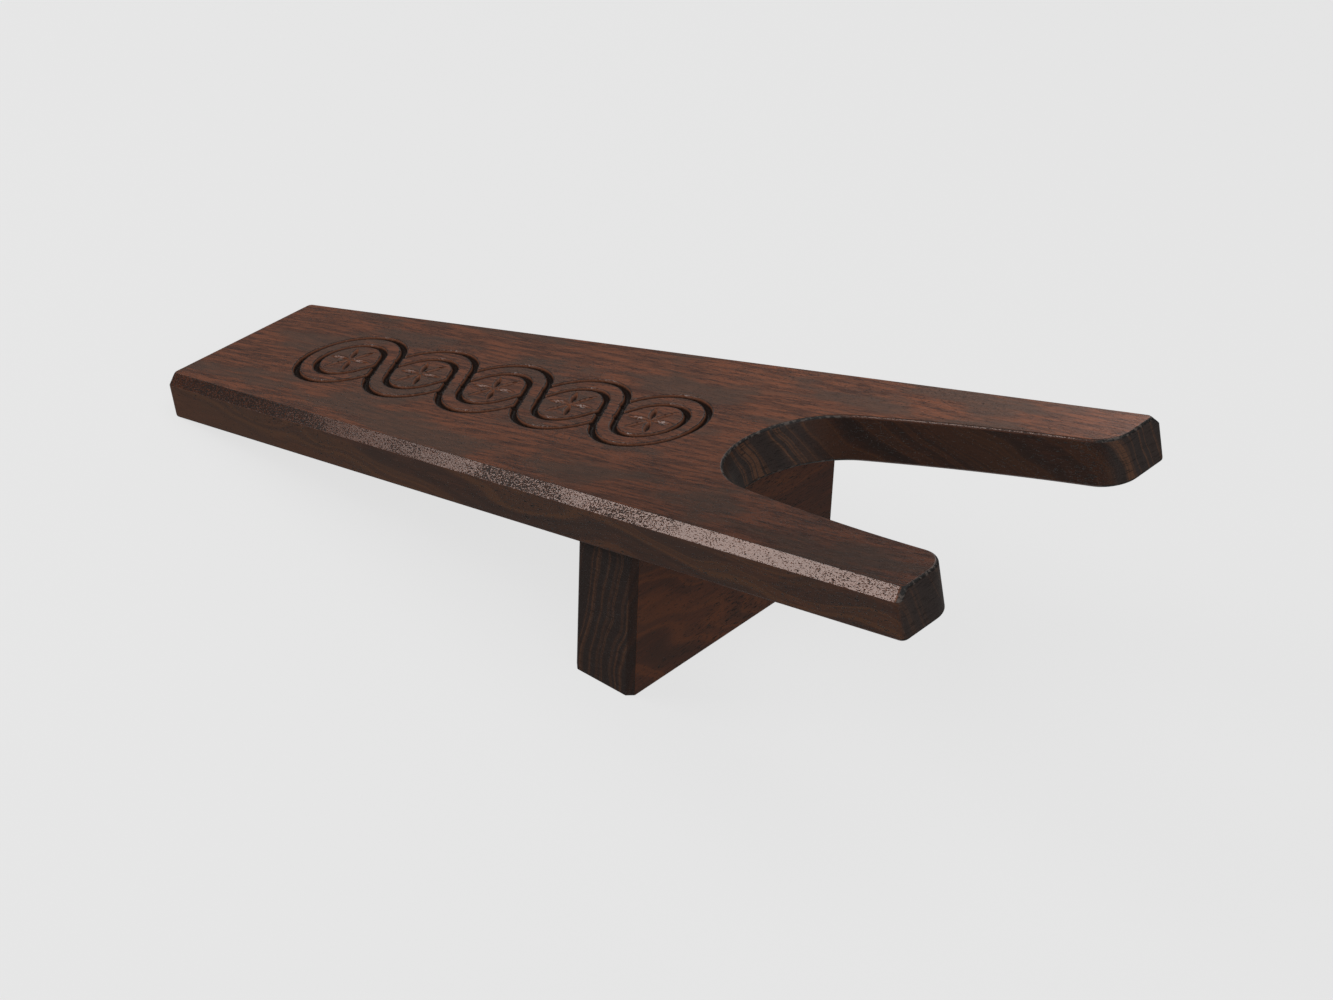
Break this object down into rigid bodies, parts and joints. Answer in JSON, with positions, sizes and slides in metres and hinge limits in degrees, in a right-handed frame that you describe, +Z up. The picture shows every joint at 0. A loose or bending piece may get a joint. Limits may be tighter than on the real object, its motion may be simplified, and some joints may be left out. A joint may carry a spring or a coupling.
{
  "type": "boot jack",
  "caption": "Wooden boot jack: a tapered board that slopes up from the floor, with a rounded heel notch between its prongs, carried on a cross block.",
  "frame": {"origin": "middle of the footprint, on the floor", "axes": "+X from the tail towards the prongs, +Y to the left across the board, +Z up"},
  "size_m": [0.3884, 0.149, 0.1141],
  "materials": {
    "board_wood": "beech with a dark brown stain under semi-gloss lacquer, pores open",
    "block_wood": "beech with a dark brown stain under semi-gloss lacquer",
    "dowel_wood": "bare beech",
    "screw_steel": "bright zinc plating"
  },
  "bodies": {
    "root": {"foot_board": "board_wood", "support_block": "block_wood", "block_screws": "screw_steel", "dowel_pins": "dowel_wood"}
  },
  "joints": []
}
